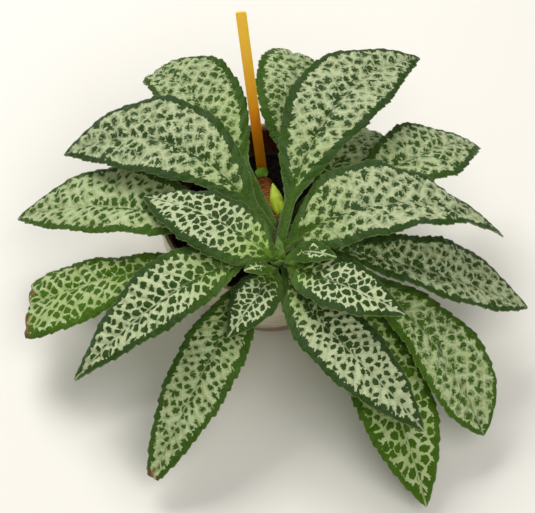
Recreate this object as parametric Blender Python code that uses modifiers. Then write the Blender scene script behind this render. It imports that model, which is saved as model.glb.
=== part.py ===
"""Potted primulina: a rosette of toothed leaves on a leaning stem, in a nursery pot inside a footed outer pot.

Metres, +Z up. The origin is the centre of the outer pot's flat underside. The rosette leans towards -Y.
"""
import math
import random
from dataclasses import dataclass

import bmesh
import bpy
from mathutils import Vector
from mathutils.bvhtree import BVHTree

mm = 0.001

# Driving dimensions of the two pots
GAP = 0.3 * mm
ROUND_STEPS = 40
OUTER_HEIGHT = 74 * mm
OUTER_PROFILE = [(65.5, 73), (65.1, 63), (63.9, 54), (61.0, 45), (55.0, 30), (47.4, 18), (40.5, 9.5), (36.8, 5)]
OUTER_WALL = 2.5 * mm
OUTER_FLOOR = 7 * mm
FOOT_RADIUS = 38.5 * mm
FOOT_HEIGHT = 3 * mm
NURSERY_TOP = 72 * mm
NURSERY_RIM_RADIUS = 62.6 * mm
NURSERY_BAND = 18 * mm
NURSERY_SHOULDER_RADIUS = 60.3 * mm
NURSERY_BASE_RADIUS = 36 * mm
NURSERY_WALL = 1.1 * mm
NURSERY_FLOOR = 1.5 * mm
DRAIN_HOLES = 5
DRAIN_RADIUS = 4 * mm
DRAIN_CIRCLE = 21 * mm
SOIL_LEVEL = 53 * mm

# Driving dimensions of the stem and of the plastic label
STEM_RADIUS = 5.6 * mm
STEM_SIDES = 12
RING_SPACING = 4.2 * mm
RING_DEPTH = 0.6 * mm
STEM_POINTS = [(5, -60, 98), (5.5, -57.5, 94), (5.5, -51, 90.5), (4, -31, 83), (0.5, -6, 72.5), (-2.5, 17, 62),
               (-4.5, 33, 52.5), (-5.5, 38.5, 43), (-5.5, 39.5, 33)]
LABEL_WIDTH = 6.2 * mm
LABEL_THICKNESS = 0.9 * mm
LABEL_FOOT = Vector((-3, 44, 33)) * mm
LABEL_TOP = Vector((-16.6, 58.5, 176)) * mm
LABEL_POINT = 12 * mm

# Driving dimensions of the side shoot and of the sprout on the soil
SHOOT_BASE = Vector((5.6, -14, 82)) * mm
SHOOT_TIP = Vector((1.6, 5.5, 88)) * mm
SHOOT_BREADTH = 6.8 * mm
SPROUT_STALK_RADIUS = 0.8 * mm
SPROUT_BLADE = Vector((-5.0, 38.5, 58.5)) * mm
SPROUT_FOOT = Vector((-14.5, 41, 44)) * mm

# Driving dimensions shared by the leaves
BLADE_THICKNESS = 0.9 * mm
STALK_THICKNESS = 3.2 * mm
STALK_HALF_WIDTH = 2.5 * mm
TIP_HALF_WIDTH = 0.5 * mm
TOOTH_SPACING = 8.5 * mm
TOOTH_DEPTH = 1.5 * mm
WAVE_HEIGHT = 1.3 * mm
HALF_CROWN = 0.16
BLADE_COLUMNS = 4

LEAF_GREEN = (0.055, 0.13, 0.035)
YOUNG_GREEN = (0.09, 0.2, 0.03)


@dataclass
class Leaf:
    """One leaf: where it leaves the stem, how its midrib runs, and the shape of its blade.

    back: distance down the stem from the crown (mm). heading: direction of the tip as seen from above,
    in degrees from +X. reach, drop: the tip's distance from the stem and its height over it (mm).
    rise, fall: slope of the midrib at the stem and at the tip (degrees). veer, hook: how far the heading
    is off there (degrees). width: widest breadth (mm), at the fraction widest of the blade. base, point:
    roundness of the blade's two ends. stalk: fraction of the length without blade. roll, twist: tilt
    about the midrib at the stem, and its change towards the tip (degrees). fold: how far each half is
    raised (degrees). cut: fraction missing at a withered tip. skew: how much broader the left half is.
    """
    name: str
    back: float
    heading: float
    reach: float
    drop: float
    rise: float
    fall: float
    veer: float
    hook: float
    width: float
    widest: float = 0.5
    base: float = 1.9
    point: float = 1.9
    stalk: float = 0.10
    roll: float = 0
    twist: float = 0
    fold: float = 12
    cut: float = 0
    skew: float = 0
    start: float = 0.36
    end: float = 0.46


LEAVES = [
    Leaf("leaf_a", 40, 121.5, 156, -18, 1, -66, -14, 6, 47, widest=0.5, point=1.6, stalk=0.24, skew=-0.2, end=0.48),
    Leaf("leaf_b", 32, 149, 151, -16, 30, -43, -21, 19, 56, widest=0.54, base=1.8, fold=13, roll=-6, skew=-0.1,
         start=0.41),
    Leaf("leaf_c", 33, 163, 165, -42, 13, -40, 12, 0, 52, widest=0.6, point=2.1, fold=14, skew=-0.15),
    Leaf("leaf_d", 4, 147, 94, -3, 31, -32, 3, -7, 39, widest=0.42, base=2.8, stalk=0.02, fold=6, skew=0.12),
    Leaf("leaf_e", 38, -174, 167, -62, -2, -42, 16, -8, 46, widest=0.7, base=1.4, point=2.6, stalk=0.2, fold=9,
         cut=0.12, skew=0.2),
    Leaf("leaf_f", 16, -155, 129, -47, 24, -52, 6, -6, 43, widest=0.42, point=1.7, skew=-0.12),
    Leaf("leaf_g", 8, -125, 51, -15, 6, -44, 16, -12, 26, base=2.3, stalk=0.03, fold=8),
    Leaf("leaf_h", 26, -122, 140, -73, -4, -48, 7, -3, 36, widest=0.45, point=2.4, fold=8, cut=0.04),
    Leaf("leaf_i", 11, -49, 121, -37, 2, -42, -24, 14, 39, widest=0.5, point=2.3, base=2.2, stalk=0.03, fold=10),
    Leaf("leaf_j", 27, -57, 153, -76, -9, -42, 10, -13, 44, widest=0.6, point=2.4, fold=10, skew=0.05),
    Leaf("leaf_k", 7, -28, 78, 0, 24, -32, -21, 16, 34, base=2.3, stalk=0.03, fold=10),
    Leaf("leaf_l", 34, -39, 152, -61, 1, -50, 8, -18, 46, widest=0.7, base=1.5, point=2.5, stalk=0.24, fold=16,
         roll=-8, skew=0.08),
    Leaf("leaf_m", 24, -4, 147, -45, 21, -44, -20, 18, 42, widest=0.64, base=1.4, point=2.2, fold=14, skew=0.22),
    Leaf("leaf_n", 19, 10, 133, -15, 41, -50, 2, -2, 57, widest=0.4, point=1.5, base=2.3, stalk=0.02, fold=14,
         roll=4, twist=-24, skew=0.14, start=0.43, end=0.52),
    Leaf("leaf_o", 25, 58, 165, 8, 31, -28, 18, -19, 54, widest=0.56, point=1.6, skew=0.1, fold=14, start=0.41, end=0.4),
    Leaf("leaf_p", 41, 86, 153, -18, 3, -66, -13, 7, 42, widest=0.44, base=2.2, point=1.5, roll=6, stalk=0.22, fold=12,
         skew=0.2, end=0.48),
    Leaf("leaf_q", 35, 37, 158, -31, 12, -50, -8, 10, 50, widest=0.66, base=1.6, stalk=0.26, fold=14),
    Leaf("leaf_r", 47, 55, 109, -22, 2, -64, -12, 0, 38, fold=10, stalk=0.24),
    Leaf("leaf_s", 2, -154, 22, 4, 38, -30, 24, -10, 12, stalk=0.08, fold=8),
    Leaf("leaf_t", 2, -8, 32, 8, 48, -24, 14, 0, 15, stalk=0.06, fold=10),
]


def clear_scene():
    for item in list(bpy.data.objects):
        bpy.data.objects.remove(item, do_unlink=True)


def new_collection(name):
    collection = bpy.data.collections.new(name)
    bpy.context.scene.collection.children.link(collection)
    return collection


def plain_material(name, colour, roughness):
    material = bpy.data.materials.new(name)
    material.use_nodes = True
    shader = material.node_tree.nodes["Principled BSDF"]
    shader.inputs["Base Color"].default_value = (*colour, 1)
    shader.inputs["Roughness"].default_value = roughness
    shader.inputs["Metallic"].default_value = 0
    return material


def add_object(name, bm, collection, material=None):
    mesh = bpy.data.meshes.new(name)
    bm.to_mesh(mesh)
    bm.free()
    item = bpy.data.objects.new(name, mesh)
    collection.objects.link(item)
    if material:
        mesh.materials.append(material)
    mesh.shade_smooth()
    mesh.set_sharp_from_angle(angle=math.radians(40))
    return item


def subtract(item, cutter):
    cutter.hide_render = True
    cutter.display_type = "WIRE"
    cut = item.modifiers.new("cut " + cutter.name, "BOOLEAN")
    cut.operation = "DIFFERENCE"
    cut.solver = "EXACT"
    cut.object = cutter


def turned(name, profile, collection, material):
    """Turn a profile of (radius, height) points about Z. It starts and ends on the axis."""
    bm = bmesh.new()
    verts = [bm.verts.new((radius, 0, height)) for radius, height in profile]
    for first, second in zip(verts, verts[1:]):
        bm.edges.new((first, second))
    item = add_object(name, bm, collection, material)
    screw = item.modifiers.new("turn", "SCREW")
    screw.steps = ROUND_STEPS
    screw.render_steps = ROUND_STEPS
    screw.use_merge_vertices = True
    screw.merge_threshold = 0.00001
    return item


def build_outer_pot(collection):
    material = plain_material("cream glaze", (0.62, 0.57, 0.46), 0.35)
    outside = [(radius * mm, height * mm) for radius, height in OUTER_PROFILE]
    inside = [(radius - OUTER_WALL, height) for radius, height in reversed(outside[:-1])]
    rim_radius = outside[0][0]
    waist_radius, waist_height = outside[-1]
    floor = [(0, OUTER_FLOOR), (waist_radius - OUTER_WALL * 0.1, OUTER_FLOOR)]
    rim = [(rim_radius - OUTER_WALL * 0.7, OUTER_HEIGHT), (rim_radius - OUTER_WALL * 0.3, OUTER_HEIGHT)]
    foot = [(FOOT_RADIUS - 0.6 * mm, waist_height - 1.2 * mm), (FOOT_RADIUS, FOOT_HEIGHT),
            (FOOT_RADIUS, 0.5 * mm), (FOOT_RADIUS - 0.5 * mm, 0), (0, 0)]
    return turned("outer_pot", floor + inside + rim + outside + foot, collection, material)


def nursery_outside(height):
    """Outside radius of the nursery pot's tapered body."""
    base = OUTER_FLOOR + GAP
    shoulder = NURSERY_TOP - NURSERY_BAND
    x = (height - base) / (shoulder - base)
    return NURSERY_BASE_RADIUS + (NURSERY_SHOULDER_RADIUS - NURSERY_BASE_RADIUS) * x


def build_nursery_pot(collection, cutters):
    material = plain_material("maroon plastic", (0.035, 0.012, 0.012), 0.3)
    base = OUTER_FLOOR + GAP
    shoulder = NURSERY_TOP - NURSERY_BAND
    band = NURSERY_SHOULDER_RADIUS + 0.5 * mm
    inner_base = nursery_outside(base + NURSERY_FLOOR) - NURSERY_WALL
    profile = [
        (0, base + NURSERY_FLOOR),
        (inner_base, base + NURSERY_FLOOR),
        (NURSERY_SHOULDER_RADIUS - NURSERY_WALL, shoulder),
        (band - NURSERY_WALL, shoulder + 1 * mm),
        (NURSERY_RIM_RADIUS - NURSERY_WALL - 0.5 * mm, NURSERY_TOP - 1 * mm),
        (NURSERY_RIM_RADIUS - NURSERY_WALL, NURSERY_TOP),
        (NURSERY_RIM_RADIUS - 0.4 * mm, NURSERY_TOP),
        (NURSERY_RIM_RADIUS, NURSERY_TOP - 0.6 * mm),
        (NURSERY_RIM_RADIUS - 0.4 * mm, NURSERY_TOP - 2.5 * mm),
        (band, shoulder),
        (NURSERY_SHOULDER_RADIUS, shoulder - 0.5 * mm),
        (NURSERY_BASE_RADIUS + 0.3 * mm, base + 0.5 * mm),
        (NURSERY_BASE_RADIUS - 0.5 * mm, base),
        (0, base),
    ]
    pot = turned("nursery_pot", profile, collection, material)
    for i in range(DRAIN_HOLES):
        angle = math.tau * (i + 0.5) / DRAIN_HOLES
        bm = bmesh.new()
        bmesh.ops.create_cone(bm, cap_ends=True, segments=12, radius1=DRAIN_RADIUS, radius2=DRAIN_RADIUS,
                              depth=4 * mm)
        centre = Vector((math.cos(angle) * DRAIN_CIRCLE, math.sin(angle) * DRAIN_CIRCLE, base + NURSERY_FLOOR / 2))
        bmesh.ops.translate(bm, verts=bm.verts, vec=centre)
        subtract(pot, add_object(f"drain_cutter_{i + 1}", bm, cutters))
    return pot


class StemLine:
    """The stem's centre line: a smooth curve through STEM_POINTS, measured from the crown down."""

    def __init__(self):
        knots = [Vector(point) * mm for point in STEM_POINTS]
        knots = [2 * knots[0] - knots[1]] + knots + [2 * knots[-1] - knots[-2]]
        self.points = []
        for a, b, c, d in zip(knots, knots[1:], knots[2:], knots[3:]):
            for i in range(20):
                t = i / 20
                self.points.append(0.5 * (2 * b + (c - a) * t + (2 * a - 5 * b + 4 * c - d) * t * t
                                          + (3 * b - a - 3 * c + d) * t ** 3))
        self.points.append(knots[-2])
        self.marks = [0.0]
        for first, second in zip(self.points, self.points[1:]):
            self.marks.append(self.marks[-1] + (second - first).length)
        self.length = self.marks[-1]

    def at(self, distance):
        distance = min(max(distance, 0.0), self.length)
        for i in range(1, len(self.marks)):
            if distance <= self.marks[i]:
                break
        share = (distance - self.marks[i - 1]) / (self.marks[i] - self.marks[i - 1])
        return self.points[i - 1].lerp(self.points[i], share)

    def along(self, distance):
        """Unit vector down the stem, away from the crown."""
        step = 1 * mm
        return (self.at(distance + step) - self.at(max(distance - step, 0))).normalized()


def stem_radius(line, distance):
    """Radius with the raised rings that fallen leaves left, tapered at the crown and at the root end."""
    ring = abs(math.sin(math.pi * distance / RING_SPACING))
    crown = min(1.0, 0.5 + 0.5 * distance / (22 * mm))
    root = min(1.0, 0.6 + 0.4 * (line.length - distance) / (8 * mm))
    return (STEM_RADIUS - RING_DEPTH * ring) * crown * root


def tube(name, line, radius_at, spacing, sides, collection, material=None, extend=0.0):
    """A tube round the stem line, as a curve with a bevel and filled caps, its root end drawn out by extend."""
    count = round(line.length / spacing)
    curve = bpy.data.curves.new(name, "CURVE")
    curve.dimensions = "3D"
    curve.bevel_depth = 1.0
    curve.bevel_resolution = sides // 4 - 1
    curve.use_fill_caps = True
    spline = curve.splines.new("POLY")
    spline.points.add(count)
    for i, point in enumerate(spline.points):
        distance = line.length * i / count
        point.co = (*line.at(distance), 1)
        point.radius = radius_at(distance)
    end = line.at(line.length) + line.along(line.length) * extend
    spline.points[-1].co = (*end, 1)
    if material:
        curve.materials.append(material)
    item = bpy.data.objects.new(name, curve)
    collection.objects.link(item)
    return item


def curve_to_mesh(item, collection):
    """A welded mesh in the curve's place."""
    bpy.context.view_layer.update()
    depsgraph = bpy.context.evaluated_depsgraph_get()
    mesh = bpy.data.meshes.new_from_object(item.evaluated_get(depsgraph))
    name = item.name
    curve = item.data
    bpy.data.objects.remove(item, do_unlink=True)
    bpy.data.curves.remove(curve)
    bm = bmesh.new()
    bm.from_mesh(mesh)
    bmesh.ops.remove_doubles(bm, verts=bm.verts, dist=0.00001)
    bm.to_mesh(mesh)
    bm.free()
    solid = bpy.data.objects.new(name, mesh)
    collection.objects.link(solid)
    return solid


def build_stem(line, collection):
    material = plain_material("ringed bark", (0.22, 0.10, 0.035), 0.8)
    return tube("stem", line, lambda distance: stem_radius(line, distance), RING_SPACING / 2, STEM_SIDES,
                collection, material)


def soil_height(x, y):
    """Lumpy top of the soil, made of a few crossed waves."""
    return SOIL_LEVEL + 0.9 * mm * (math.sin(x / (5.1 * mm) + 1) * math.cos(y / (4.3 * mm))
                                    + 0.6 * math.sin((x + y) / (2.9 * mm)))


def build_soil(line, collection, cutters):
    material = plain_material("potting soil", (0.012, 0.010, 0.009), 0.95)
    base = OUTER_FLOOR + GAP + NURSERY_FLOOR + GAP
    top_radius = NURSERY_SHOULDER_RADIUS - NURSERY_WALL - GAP
    base_radius = nursery_outside(base) - NURSERY_WALL - 2 * GAP
    low = SOIL_LEVEL - 3 * mm
    side_radius = nursery_outside(low) - NURSERY_WALL - 2 * GAP
    top_radius = min(top_radius, nursery_outside(SOIL_LEVEL) - NURSERY_WALL - 2 * GAP)
    rings = [0.2, 0.4, 0.6, 0.8, 0.93]
    profile = [(0, SOIL_LEVEL)] + [(top_radius * share, SOIL_LEVEL) for share in rings]
    profile += [(top_radius, SOIL_LEVEL - 1 * mm), (side_radius, low), (base_radius, base), (0, base)]
    bm = bmesh.new()
    verts = [bm.verts.new((radius, 0, height)) for radius, height in profile]
    edges = [bm.edges.new(pair) for pair in zip(verts, verts[1:])]
    bmesh.ops.spin(bm, geom=verts + edges, cent=(0, 0, 0), axis=(0, 0, 1), angle=math.tau, steps=ROUND_STEPS,
                   use_merge=True)
    bmesh.ops.remove_doubles(bm, verts=bm.verts, dist=0.00002)
    for vert in bm.verts:
        if vert.co.z > SOIL_LEVEL - 0.5 * mm:
            vert.co.z = soil_height(vert.co.x, vert.co.y)
    bmesh.ops.recalc_face_normals(bm, faces=bm.faces)
    soil = add_object("soil", bm, collection, material)
    hole = tube("stem_hole", line, lambda distance: STEM_RADIUS + GAP, RING_SPACING / 2, STEM_SIDES, cutters,
                extend=2 * GAP)
    subtract(soil, curve_to_mesh(hole, cutters))
    subtract(soil, label_solid("label_slot", GAP, cutters))
    subtract(soil, sprout_stalk("sprout_hole", SPROUT_STALK_RADIUS + GAP, cutters, extend=2 * GAP))
    return soil


def label_solid(name, margin, collection, material=None):
    """The flat strip with its tapered foot, made larger all round by margin."""
    up = (LABEL_TOP - LABEL_FOOT).normalized()
    across = Vector((1, 0, 0))
    across = (across - up * across.dot(up)).normalized()
    out = across.cross(up)
    length = (LABEL_TOP - LABEL_FOOT).length
    half = LABEL_WIDTH / 2 + margin
    corner = 1.2 * mm
    outline = [(-0.8 * mm - margin, -margin), (0.8 * mm + margin, -margin), (half, LABEL_POINT),
               (half, length - corner), (half - corner, length + margin), (corner - half, length + margin),
               (-half, length - corner), (-half, LABEL_POINT)]
    bm = bmesh.new()
    back = -out * (LABEL_THICKNESS / 2 + margin)
    face = bm.faces.new([bm.verts.new(LABEL_FOOT + across * x + up * y + back) for x, y in outline])
    result = bmesh.ops.extrude_face_region(bm, geom=[face])
    moved = [item for item in result["geom"] if isinstance(item, bmesh.types.BMVert)]
    bmesh.ops.translate(bm, verts=moved, vec=-2 * back)
    bmesh.ops.recalc_face_normals(bm, faces=bm.faces)
    return add_object(name, bm, collection, material)


def direction(heading, slope):
    h, p = math.radians(heading), math.radians(slope)
    return Vector((math.cos(h) * math.cos(p), math.sin(h) * math.cos(p), math.sin(p)))


def leaf_normal(forward, roll):
    """Sideways (left) and upward directions of a leaf whose midrib runs forward."""
    left = Vector((0, 0, 1)).cross(forward).normalized()
    up = forward.cross(left)
    rho = math.radians(roll)
    return left * math.cos(rho) + up * math.sin(rho), up * math.cos(rho) - left * math.sin(rho)


class Midrib:
    """Cubic curve from the stem to the leaf's tip. It starts at the distance seat from the stem's centre line."""

    def __init__(self, leaf, line, seat):
        back = leaf.back * mm
        centre = line.at(back)
        axis = line.along(back)
        leaving = direction(leaf.heading + leaf.veer, leaf.rise)
        out = (leaving - axis * leaving.dot(axis)).normalized()
        self.root = centre + out * seat
        self.tip = centre + direction(leaf.heading, 0) * leaf.reach * mm + Vector((0, 0, leaf.drop * mm))
        chord = (self.tip - self.root).length
        self.first = self.root + leaving * chord * leaf.start
        self.second = self.tip - direction(leaf.heading + leaf.hook, leaf.fall) * chord * leaf.end
        self.length = 0.5 * (chord + (self.first - self.root).length + (self.second - self.first).length
                             + (self.tip - self.second).length)

    def at(self, s):
        r = 1 - s
        return (self.root * r ** 3 + self.first * 3 * s * r * r + self.second * 3 * s * s * r + self.tip * s ** 3)

    def forward(self, s):
        r = 1 - s
        slope = ((self.first - self.root) * r * r + (self.second - self.first) * 2 * s * r
                 + (self.tip - self.second) * s * s)
        return slope.normalized()


def half_width(leaf, s):
    """Half the blade's breadth at the fraction s of the leaf, with the stalk running into it."""
    u = min(max((s - leaf.stalk) / (1 - leaf.stalk), 0.0), 1.0)
    if u < leaf.widest:
        shape = 1 - (1 - u / leaf.widest) ** leaf.base
    else:
        shape = 1 - ((u - leaf.widest) / (1 - leaf.widest)) ** leaf.point
    stalk = STALK_HALF_WIDTH * min(1.0, leaf.width / 30) * max(0.0, 1 - 1.2 * u)
    return math.hypot(leaf.width * mm / 2 * shape, stalk) + TIP_HALF_WIDTH


def leaf_point(leaf, midrib, s, t, reach_out=0.0, phase=0.0):
    """Point of the upper face at s along and t across (-1 right edge, 1 left edge)."""
    left, up = leaf_normal(midrib.forward(s), leaf.roll + leaf.twist * s)
    breadth = half_width(leaf, s) * (1 + leaf.skew * t) + reach_out
    fold = math.radians(leaf.fold)
    sideways = breadth * t * math.cos(fold)
    lift = breadth * (abs(t) * math.sin(fold) - HALF_CROWN * t * t)
    wave = WAVE_HEIGHT * leaf.width / 50 * math.sin(9 * s * math.pi + phase + 1.5 * t) * t * t * math.sin(math.pi * s)
    return midrib.at(s) + left * sideways + up * (lift + wave)


def leaf_rows(leaf, midrib, rng):
    """Stations along the leaf with how far the edge stands out there, right and left: a row for each
    notch and each tooth's point."""
    end = 1 - leaf.cut
    blade_start = leaf.stalk * 0.9 + 0.01
    teeth = max(4, round(midrib.length * (end - blade_start) / TOOTH_SPACING))
    rows = [(0.0, 0.0, 0.0)]
    if leaf.stalk > 0.15:
        rows.append((blade_start / 2, 0.0, 0.0))
    for i in range(teeth):
        s = blade_start + (end - blade_start) * i / teeth
        step = (end - blade_start) / teeth
        size = TOOTH_DEPTH * min(1.0, leaf.width / 36) * math.sin(math.pi * min(0.9, 0.12 + 0.8 * i / teeth)) ** 0.5
        rows.append((s, 0.0, 0.0))
        rows.append((s + 0.62 * step, size * rng.uniform(0.6, 1.4), size * rng.uniform(0.6, 1.4)))
    rows.append((end, 0.0, 0.0))
    return rows


def flesh(s, t, leaf):
    """Thickness of the leaf at a point, as a share of the stalk's."""
    thin = BLADE_THICKNESS / STALK_THICKNESS
    blade = min(1.0, max(0.0, (s - leaf.stalk * 0.6) / 0.12))
    rib = (1 - s) * 0.45
    middle = 1 - 0.15 * (2 * t) ** 2 if abs(t) < 0.75 else 0.35
    on_blade = thin + rib * (1 - thin) * max(0.0, 1 - 2 * abs(t))
    return middle * (1 - blade) + on_blade * blade


def solid_tree(item):
    """Search tree of an object's finished surface, and its points."""
    bpy.context.view_layer.update()
    evaluated = item.evaluated_get(bpy.context.evaluated_depsgraph_get())
    mesh = evaluated.to_mesh()
    points = [item.matrix_world @ vert.co for vert in mesh.vertices]
    tree = BVHTree.FromPolygons(points, [tuple(face.vertices) for face in mesh.polygons])
    evaluated.to_mesh_clear()
    return tree, points


def smallest_gap(first, second):
    """Shortest distance from the points of either solid to the other's surface."""
    reach = 20 * mm
    gap = reach
    for (tree, _), (_, points) in ((first, second), (second, first)):
        for point in points:
            distance = tree.find_nearest(point, reach)[3]
            if distance is not None:
                gap = min(gap, distance)
    return gap


def leaf_solid(leaf, line, seat, rows, phase, collection, material):
    """The waved blade as a grid, given its flesh below the upper face."""
    midrib = Midrib(leaf, line, seat)
    bm = bmesh.new()
    bmesh.ops.create_grid(bm, x_segments=BLADE_COLUMNS, y_segments=len(rows) - 1, size=0.5)
    group = bm.verts.layers.deform.verify()
    for vert in bm.verts:
        row = round((vert.co.y + 0.5) * (len(rows) - 1))
        t = -2 * vert.co.x
        s, right, left = rows[row]
        at_edge = abs(t) > 0.99
        tooth = (left if t > 0 else right) if at_edge else 0.0
        vert.co = leaf_point(leaf, midrib, s, t, tooth, phase)
        vert[group][0] = flesh(s, t, leaf)
    bmesh.ops.triangulate(bm, faces=bm.faces, quad_method="SHORT_EDGE")
    item = add_object(leaf.name, bm, collection, material)
    item.vertex_groups.new(name="flesh")
    solidify = item.modifiers.new("flesh", "SOLIDIFY")
    solidify.thickness = STALK_THICKNESS * min(1.0, leaf.width / 22)
    solidify.offset = -1
    solidify.vertex_group = "flesh"
    return item


def build_leaf(leaf, line, stem_tree, collection, material, rng):
    """One leaf, its stalk brought up to the bark until only the gap is left."""
    phase = rng.uniform(0, math.tau)
    seat = STEM_RADIUS + STALK_THICKNESS + STALK_HALF_WIDTH
    rows = leaf_rows(leaf, Midrib(leaf, line, seat), rng)
    item = leaf_solid(leaf, line, seat, rows, phase, collection, material)
    for _ in range(6):
        spare = smallest_gap(solid_tree(item), stem_tree) - GAP
        if spare < 0.05 * mm:
            break
        seat -= spare
        bpy.data.objects.remove(item, do_unlink=True)
        item = leaf_solid(leaf, line, seat, rows, phase, collection, material)
    item.name = leaf.name
    return item


def sprout_stalk(name, radius, collection, extend=0.0):
    """Thin round stalk from its foot in the soil up to the sprout's blade."""
    run = SPROUT_BLADE - SPROUT_FOOT
    bm = bmesh.new()
    bmesh.ops.create_cone(bm, cap_ends=True, segments=8, radius1=radius, radius2=radius,
                          depth=run.length + 2 * extend)
    turn = Vector((0, 0, 1)).rotation_difference(run)
    bmesh.ops.rotate(bm, verts=bm.verts, matrix=turn.to_matrix())
    bmesh.ops.translate(bm, verts=bm.verts, vec=(SPROUT_BLADE + SPROUT_FOOT) / 2)
    return add_object(name, bm, collection)


def union_of(name, pieces, collection, material):
    """Join solids that cross each other into one body."""
    first, *others = pieces
    group = bpy.data.collections.new(name + " parts")
    for item in others:
        group.objects.link(item)
    join = first.modifiers.new("join", "BOOLEAN")
    join.operation = "UNION"
    join.operand_type = "COLLECTION"
    join.collection = group
    join.solver = "EXACT"
    bpy.context.view_layer.update()
    depsgraph = bpy.context.evaluated_depsgraph_get()
    mesh = bpy.data.meshes.new_from_object(first.evaluated_get(depsgraph))
    for item in pieces:
        bpy.data.objects.remove(item, do_unlink=True)
    bpy.data.collections.remove(group)
    mesh.materials.clear()
    mesh.materials.append(material)
    item = bpy.data.objects.new(name, mesh)
    collection.objects.link(item)
    return item


def ellipsoid(name, centre, axis, length, breadth, thickness, collection, sharpness=0.0, sides=10, rings=8):
    """A rounded body along an axis, drawn out to a point at its far end by sharpness."""
    bm = bmesh.new()
    bmesh.ops.create_uvsphere(bm, u_segments=sides, v_segments=rings, radius=0.5)
    for vert in bm.verts:
        taper = 1 - sharpness * max(0.0, vert.co.z * 2)
        vert.co = Vector((vert.co.x * breadth * taper, vert.co.y * thickness * taper, vert.co.z * length))
    turn = Vector((0, 0, 1)).rotation_difference(axis)
    bmesh.ops.rotate(bm, verts=bm.verts, matrix=turn.to_matrix())
    bmesh.ops.translate(bm, verts=bm.verts, vec=centre)
    return add_object(name, bm, collection)


def build_sprout(collection):
    material = plain_material("sprout green", (0.09, 0.25, 0.03), 0.5)
    stalk = sprout_stalk("sprout_stalk", SPROUT_STALK_RADIUS, collection)
    blade = ellipsoid("sprout_blade", SPROUT_BLADE, Vector((0, -0.35, 1)), 1.6 * mm, 8 * mm, 7 * mm, collection)
    return union_of("sprout", [blade, stalk], collection, material)


def build_side_shoot(collection):
    """The plump pale shoot beside the stem, its base seated on the bark."""
    material = plain_material("shoot green", (0.30, 0.42, 0.05), 0.45)
    axis = SHOOT_TIP - SHOOT_BASE
    item = ellipsoid("side_shoot", (SHOOT_BASE + SHOOT_TIP) / 2, axis, axis.length, SHOOT_BREADTH,
                     SHOOT_BREADTH * 0.9, collection, sharpness=0.5)
    item.data.materials.append(material)
    return item


def build_crown_bud(line, collection):
    """The youngest leaflets, still folded together on the stem's end."""
    material = plain_material("bud green", (0.10, 0.17, 0.04), 0.6)
    end = line.at(0)
    up = (line.at(0) - line.at(4 * mm)).normalized()
    seat = end + up * (GAP + 2.2 * mm)
    pieces = [ellipsoid("bud_heart", seat + up * 0.3 * mm, up, 5 * mm, 5 * mm, 5 * mm, collection)]
    for i, heading in enumerate((-100, -10, 80, 170)):
        lean = (direction(heading, 0) * 0.75 + up * 0.9 + Vector((0, 0, 0.5))).normalized()
        centre = seat + lean * 3.6 * mm
        pieces.append(ellipsoid(f"bud_leaf_{i}", centre, lean, 8.5 * mm, 3.6 * mm, 1.6 * mm, collection,
                                sharpness=0.6, sides=8, rings=6))
    return union_of("crown_bud", pieces, collection, material)


def main():
    clear_scene()
    plant = new_collection("potted primulina")
    cutters = new_collection("cutters")
    rng = random.Random(11)
    line = StemLine()
    build_outer_pot(plant)
    build_nursery_pot(plant, cutters)
    build_soil(line, plant, cutters)
    stem_tree = solid_tree(build_stem(line, plant))
    label_solid("plant_label", 0.0, plant, plain_material("yellow plastic", (0.78, 0.45, 0.04), 0.4))
    for leaf in LEAVES:
        colour = YOUNG_GREEN if leaf.width < 30 else LEAF_GREEN
        build_leaf(leaf, line, stem_tree, plant, plain_material(leaf.name + " green", colour, 0.55), rng)
    build_side_shoot(plant)
    build_crown_bud(line, plant)
    build_sprout(plant)


main()
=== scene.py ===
import math
import random
from dataclasses import dataclass

import bmesh
import bpy
import numpy as np
from mathutils import Matrix, Vector, noise


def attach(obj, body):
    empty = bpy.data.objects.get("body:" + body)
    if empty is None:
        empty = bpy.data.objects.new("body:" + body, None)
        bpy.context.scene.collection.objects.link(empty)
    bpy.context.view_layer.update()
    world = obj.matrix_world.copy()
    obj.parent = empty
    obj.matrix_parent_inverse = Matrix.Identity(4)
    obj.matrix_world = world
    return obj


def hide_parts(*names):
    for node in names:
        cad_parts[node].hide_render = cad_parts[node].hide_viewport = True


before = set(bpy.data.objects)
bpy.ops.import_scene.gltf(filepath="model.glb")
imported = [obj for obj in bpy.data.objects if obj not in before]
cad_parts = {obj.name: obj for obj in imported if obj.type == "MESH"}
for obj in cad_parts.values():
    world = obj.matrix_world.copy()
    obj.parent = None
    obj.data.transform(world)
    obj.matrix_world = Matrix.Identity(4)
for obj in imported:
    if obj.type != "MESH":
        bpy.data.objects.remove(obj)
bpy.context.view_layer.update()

mm = 0.001

# Outer pot: a turned stoneware pot on a low foot, dipped in cream glaze.
# The glaze stops above the foot ring, which is left as bare fired clay, and thins to tan on the lip.
OUTER_HEIGHT = 74 * mm
OUTER_PROFILE = [(65.5, 73), (65.1, 63), (63.9, 54), (61.0, 45), (55.0, 30), (47.4, 18), (40.5, 9.5),
                 (36.8, 5)]
OUTER_WALL = 2.5 * mm
OUTER_FLOOR = 7 * mm
INSIDE_BOTTOM = 8.2 * mm
FOOT_RADIUS = 38.5 * mm
FOOT_HEIGHT = 3 * mm
FOOT_HOLLOW = 1.2 * mm
TURNING_MARK = 0.10 * mm
OUTER_STEPS = 144
GLAZE_CREAM = (0.60, 0.55, 0.42, 1)
GLAZE_SHADE = (0.50, 0.44, 0.32, 1)
GLAZE_TAN = (0.36, 0.24, 0.13, 1)
BARE_CLAY = (0.42, 0.31, 0.21, 1)
IRON_SPECK = (0.16, 0.09, 0.04, 1)


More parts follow.
